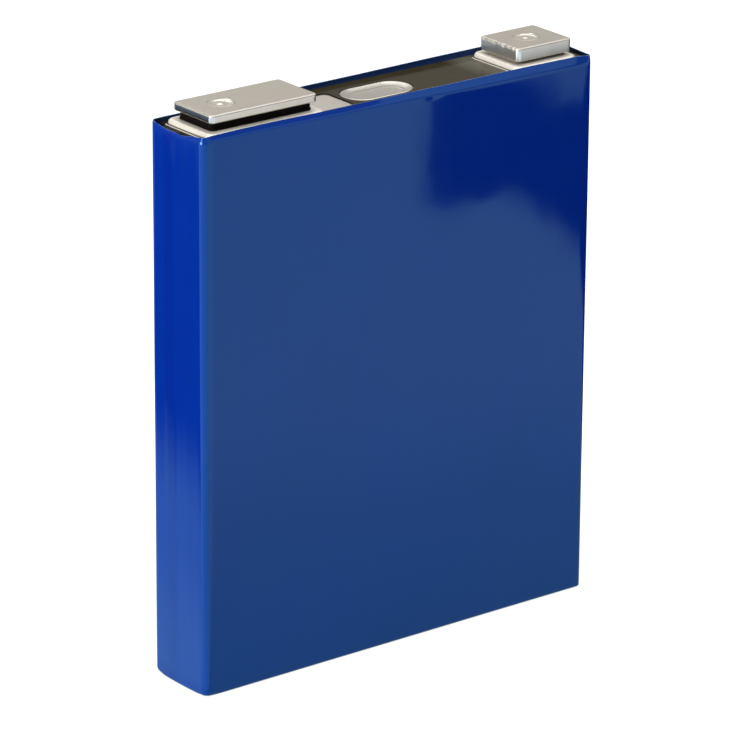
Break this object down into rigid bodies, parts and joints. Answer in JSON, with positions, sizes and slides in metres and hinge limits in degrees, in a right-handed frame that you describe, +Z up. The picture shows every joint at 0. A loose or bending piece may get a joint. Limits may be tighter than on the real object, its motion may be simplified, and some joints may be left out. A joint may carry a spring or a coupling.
{
  "type": "prismatic battery cell",
  "caption": "Flat rectangular battery cell in an open-topped blue film sleeve, with metal terminal blocks, a fill port and an obround safety vent on its lid.",
  "frame": {"origin": "centre of the film sleeve's flat underside, on the floor", "axes": "+Z up through the lid; +X along the length from the negative (long) terminal to the positive (short) terminal; +Y through the thickness, so the broad front face looks along -Y"},
  "size_m": [0.148, 0.026, 0.1814],
  "materials": {
    "film_blue": "glossy blue film",
    "pad_green": "thin insulating board",
    "can_aluminium": "plain drawn",
    "lid_aluminium": "satin, bosses bare",
    "cover_taupe": "dark satin film",
    "fill_aluminium": "bright satin",
    "plug_rubber": "black",
    "vent_aluminium": "bright stamped",
    "flap_aluminium": "thin bright scored panel",
    "guard_plastic": "natural moulded",
    "terminal_aluminium": "fine scuffed satin",
    "post_aluminium": "dished riveted head",
    "insulator_black": "glossy black moulded",
    "gasket_brown": "dull dark brown",
    "negative_seal_rubber": "black",
    "positive_seal_rubber": "black",
    "negative_tray_plastic": "natural moulded",
    "positive_tray_plastic": "natural moulded",
    "collector_copper": "plain copper sheet",
    "collector_aluminium": "plain sheet",
    "foil_copper": "stacked copper foil",
    "foil_aluminium": "stacked aluminium foil",
    "roll_separator": "wound electrodes with white separator outside",
    "tape_green": "thin green tape",
    "base_plastic": "natural moulded",
    "bag_film": "thin milky film"
  },
  "bodies": {
    "cell": {"film_sleeve": "film_blue", "bottom_pad": "pad_green", "case_can": "can_aluminium", "lid_plate": "lid_aluminium", "lid_cover": "cover_taupe", "fill_port_plate": "fill_aluminium", "fill_port_plug": "plug_rubber", "vent_rim": "vent_aluminium", "vent_guard": "guard_plastic", "negative_block": "terminal_aluminium", "positive_block": "terminal_aluminium", "negative_post": "post_aluminium", "positive_post": "post_aluminium", "negative_insulator": "insulator_black", "positive_gasket": "gasket_brown", "negative_seal": "negative_seal_rubber", "positive_seal": "positive_seal_rubber", "negative_tray": "negative_tray_plastic", "positive_tray": "positive_tray_plastic", "negative_collector": "collector_copper", "positive_collector": "collector_aluminium", "negative_tabs_front": "foil_copper", "negative_tabs_back": "foil_copper", "positive_tabs_front": "foil_aluminium", "positive_tabs_back": "foil_aluminium", "roll_front": "roll_separator", "roll_back": "roll_separator", "roll_tape_front": "tape_green", "roll_tape_back": "tape_green", "roll_base": "base_plastic", "insulating_bag": "bag_film"},
    "vent": {"vent_flap": "flap_aluminium"}
  },
  "joints": [
    {"name": "vent_flap_hinge", "type": "hinge", "parent": "cell", "child": "vent", "pos_m": [0, 0.004, 0.1741], "axis": [-1, 0, 0], "range_deg": [0, 75]}
  ]
}
